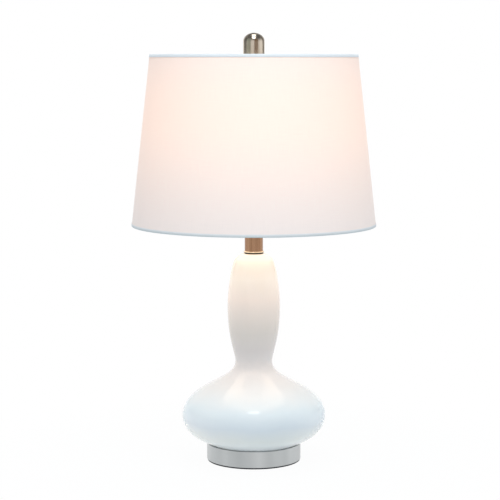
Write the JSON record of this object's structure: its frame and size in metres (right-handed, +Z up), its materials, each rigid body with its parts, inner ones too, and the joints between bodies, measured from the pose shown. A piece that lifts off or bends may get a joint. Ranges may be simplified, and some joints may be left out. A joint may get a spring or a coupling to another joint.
{
  "type": "table lamp",
  "caption": "Table lamp with a waisted white glass body on a round metal plinth, a tapered fabric drum shade on a harp, a turn switch, a screw-in bulb and a finial.",
  "frame": {"origin": "on the table, under the middle of the base", "axes": "+Z up the lamp's axis, -Y to the front where the switch knob points, +Y to the back where the cord leaves, the harp in the XZ plane"},
  "size_m": [0.331, 0.331, 0.581],
  "materials": {
    "felt": "dense dark felt",
    "brushed_nickel": "satin brushed nickel plate",
    "cast_iron": "rough cast",
    "zinc_steel": "zinc plated steel",
    "black_plastic": "moulded, satin",
    "gasket_rubber": "soft grey rubber",
    "white_glass": "opal white, fire polished",
    "nickel_wire": "nickel plated wire",
    "white_wire": "white enamelled wire",
    "shade_fabric": "plain white weave",
    "shade_liner": "translucent styrene sheet",
    "trim_tape": "self-coloured rolled tape",
    "brass": "plain brass",
    "phenolic": "moulded phenolic",
    "liner_card": "insulating card",
    "bulb_glass": "inside frosted",
    "bulb_metal": "thin rolled shell",
    "bulb_insulator": "black glass bead with a soldered tip"
  },
  "bodies": {
    "stand": {"base_pad": "felt", "base_plinth": "brushed_nickel", "base_weight": "cast_iron", "base_washer": "zinc_steel", "base_nut": "zinc_steel", "cord_bushing": "black_plastic", "glass_gasket": "gasket_rubber", "glass_body": "white_glass", "glass_bush": "gasket_rubber", "neck_ring": "brushed_nickel", "neck_tube": "brushed_nickel", "neck_cap": "brushed_nickel", "neck_nut": "zinc_steel", "threaded_rod": "zinc_steel", "harp_saddle": "nickel_wire", "harp_bow": "nickel_wire", "socket_cap": "brushed_nickel", "socket_set_screw": "zinc_steel", "socket_shell": "brushed_nickel", "socket_liner": "liner_card", "socket_body": "phenolic", "socket_screw_shell": "brass", "socket_contact": "brass", "terminal_screws": "brass", "switch_bush": "brass"},
    "shade": {"harp_stud": "nickel_wire", "spider_washer": "white_wire", "spider_spokes": "white_wire", "shade_top_ring": "white_wire", "shade_bottom_ring": "white_wire", "shade_fabric": "shade_fabric", "shade_liner": "shade_liner", "shade_top_trim": "trim_tape", "shade_bottom_trim": "trim_tape"},
    "finial_lift": {"finial_insert": "brass"},
    "finial_spin": {"finial": "brushed_nickel"},
    "left_sleeve": {"harp_sleeve_left": "nickel_wire"},
    "right_sleeve": {"harp_sleeve_right": "nickel_wire"},
    "switch_key": {"switch_shaft": "brass", "switch_knob": "black_plastic"},
    "bulb_lift": {"bulb_contact": "bulb_insulator"},
    "bulb_spin": {"bulb_cap": "bulb_metal", "bulb_envelope": "bulb_glass"}
  },
  "joints": [
    {"name": "shade_swivel", "type": "hinge", "parent": "stand", "child": "shade", "pos_m": [0, 0, 0.5377], "axis": [0, 0, 1], "continuous": true},
    {"name": "finial_rise", "type": "slide", "parent": "shade", "child": "finial_lift", "axis": [0, 0, 1], "range_m": [0, 0.00941]},
    {"name": "finial_turn", "type": "hinge", "parent": "finial_lift", "child": "finial_spin", "pos_m": [0, 0, 0.54315], "axis": [0, 0, 1], "range_deg": [0, 3600]},
    {"name": "left_sleeve_slide", "type": "slide", "parent": "stand", "child": "left_sleeve", "axis": [0, 0, 1], "range_m": [0, 0.0115]},
    {"name": "right_sleeve_slide", "type": "slide", "parent": "stand", "child": "right_sleeve", "axis": [0, 0, 1], "range_m": [0, 0.0115]},
    {"name": "switch_turn", "type": "hinge", "parent": "stand", "child": "switch_key", "pos_m": [0, -0.0198, 0.3765], "axis": [0, 1, 0], "continuous": true},
    {"name": "bulb_rise", "type": "slide", "parent": "stand", "child": "bulb_lift", "axis": [0, 0, 1], "range_m": [0, 0.01451]},
    {"name": "bulb_turn", "type": "hinge", "parent": "bulb_lift", "child": "bulb_spin", "pos_m": [0, 0, 0.3862], "axis": [0, 0, 1], "range_deg": [0, 1440]}
  ],
  "couplings": [
    {"joint": "finial_turn", "follows": "finial_rise", "rad_per_m": 6679},
    {"joint": "bulb_turn", "follows": "bulb_rise", "rad_per_m": 1731.6}
  ]
}
